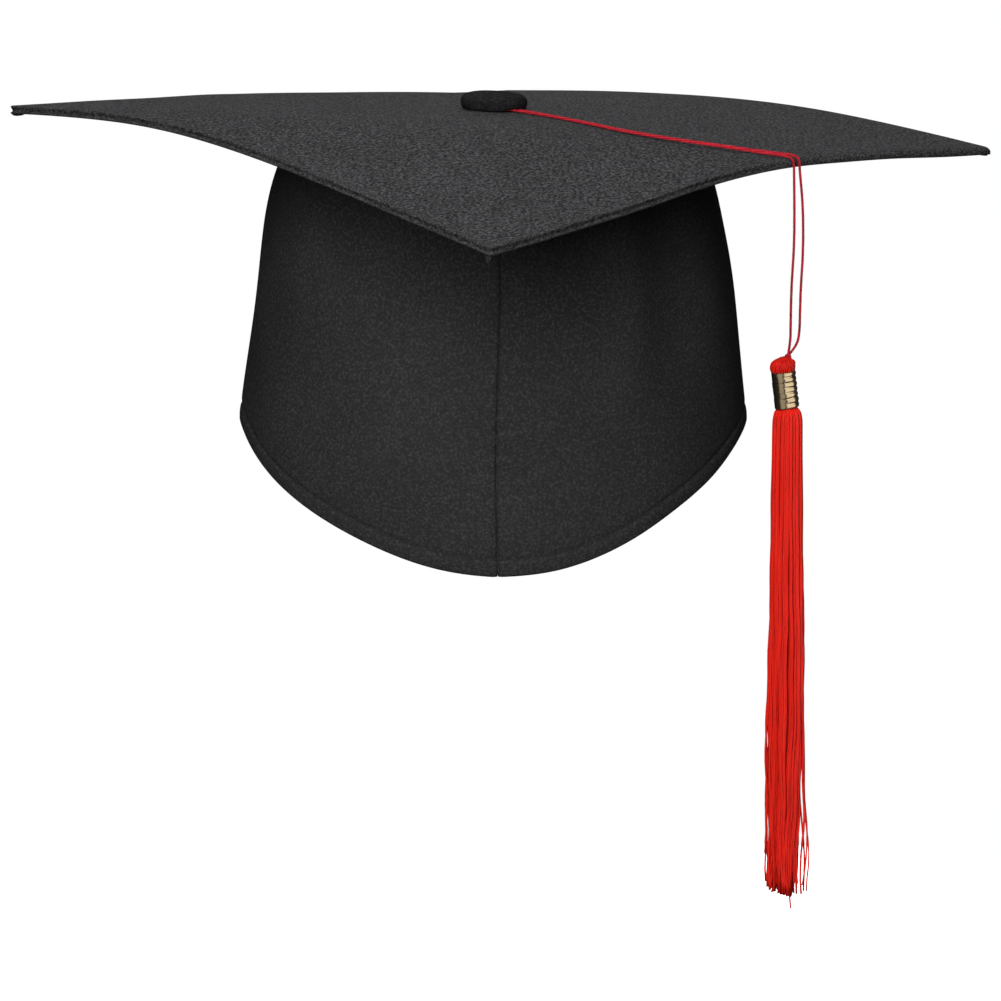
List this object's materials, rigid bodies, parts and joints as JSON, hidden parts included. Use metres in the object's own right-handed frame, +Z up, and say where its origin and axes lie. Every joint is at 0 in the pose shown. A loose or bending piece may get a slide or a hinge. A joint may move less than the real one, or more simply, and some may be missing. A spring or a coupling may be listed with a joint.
{
  "type": "graduation cap",
  "caption": "Square-board academic cap with a soft crown, pointed front hem, covered centre button and a long thread tassel on a looped cord.",
  "frame": {"origin": "centre of the head opening, level with the hem at the temples", "axes": "+Z up towards the board, -Y the wearer's front, +X the wearer's left, the tassel's side"},
  "size_m": [0.3464, 0.3464, 0.2763],
  "materials": {
    "shell_cloth": "matte woven cloth, black with a faint grey fleck",
    "card": "grey stiff card, hidden inside the board",
    "stiffening_cloth": "stiff fused interfacing, hidden",
    "lining_cloth": "thin smooth black lining",
    "tape_cloth": "black seam tape",
    "band_cloth": "black ribbed sweatband cloth",
    "elastic": "black woven elastic",
    "sewing_thread": "black sewing thread",
    "button_cloth": "black cloth stretched over a button",
    "button_metal": "plain pressed steel, hidden",
    "red_cord": "twisted crimson cord with a slight sheen",
    "red_thread": "shiny bright red rayon thread",
    "gold_band": "polished gold-coloured metal coil"
  },
  "bodies": {
    "cap": {"board_top_cover": "shell_cloth", "board_core": "card", "board_bottom_cover": "shell_cloth", "board_edge_seam": "sewing_thread", "board_corner_tucks": "shell_cloth", "button_cover": "button_cloth", "button_shell": "button_metal", "button_back": "button_metal", "button_shank": "button_metal", "button_anchor": "button_metal", "crown_tip": "shell_cloth", "crown_left_panel": "shell_cloth", "crown_right_panel": "shell_cloth", "stiffener_left": "stiffening_cloth", "stiffener_right": "stiffening_cloth", "lining_left": "lining_cloth", "lining_right": "lining_cloth", "front_seam_tape": "tape_cloth", "back_seam_tape": "tape_cloth", "sweatband": "band_cloth", "elastic_band": "elastic", "elastic_casing": "band_cloth", "hem_stitching": "sewing_thread"},
    "tassel_loop": {"cord_loop": "red_cord"},
    "tassel_strands": {"cord_strands": "red_cord"},
    "tassel_knot": {"cord_knot": "red_cord"},
    "tassel": {"tassel_head": "red_thread", "tassel_neck_tie": "red_thread", "tassel_band": "gold_band", "tassel_skirt": "red_thread"}
  },
  "joints": [
    {"name": "tassel_turn", "type": "hinge", "parent": "cap", "child": "tassel_loop", "pos_m": [0, 0, 0.1121], "axis": [0.0376, -0.0004, 0.9993], "range_deg": [-16, 0]},
    {"name": "tassel_swing", "type": "hinge", "parent": "tassel_loop", "child": "tassel_strands", "pos_m": [0.10229, -0.07486, 0.098], "axis": [0.7195, 0.6945, 0], "range_deg": [-80, 11]},
    {"name": "tassel_sway", "type": "hinge", "parent": "tassel_strands", "child": "tassel_knot", "pos_m": [0.09984, -0.07722, 0.0364], "axis": [0.6945, -0.7195, 0], "range_deg": [-40, 40]},
    {"name": "tassel_spin", "type": "hinge", "parent": "tassel_knot", "child": "tassel", "pos_m": [0.09984, -0.07722, 0.0364], "axis": [0, 0, 1], "range_deg": [-180, 180]}
  ]
}
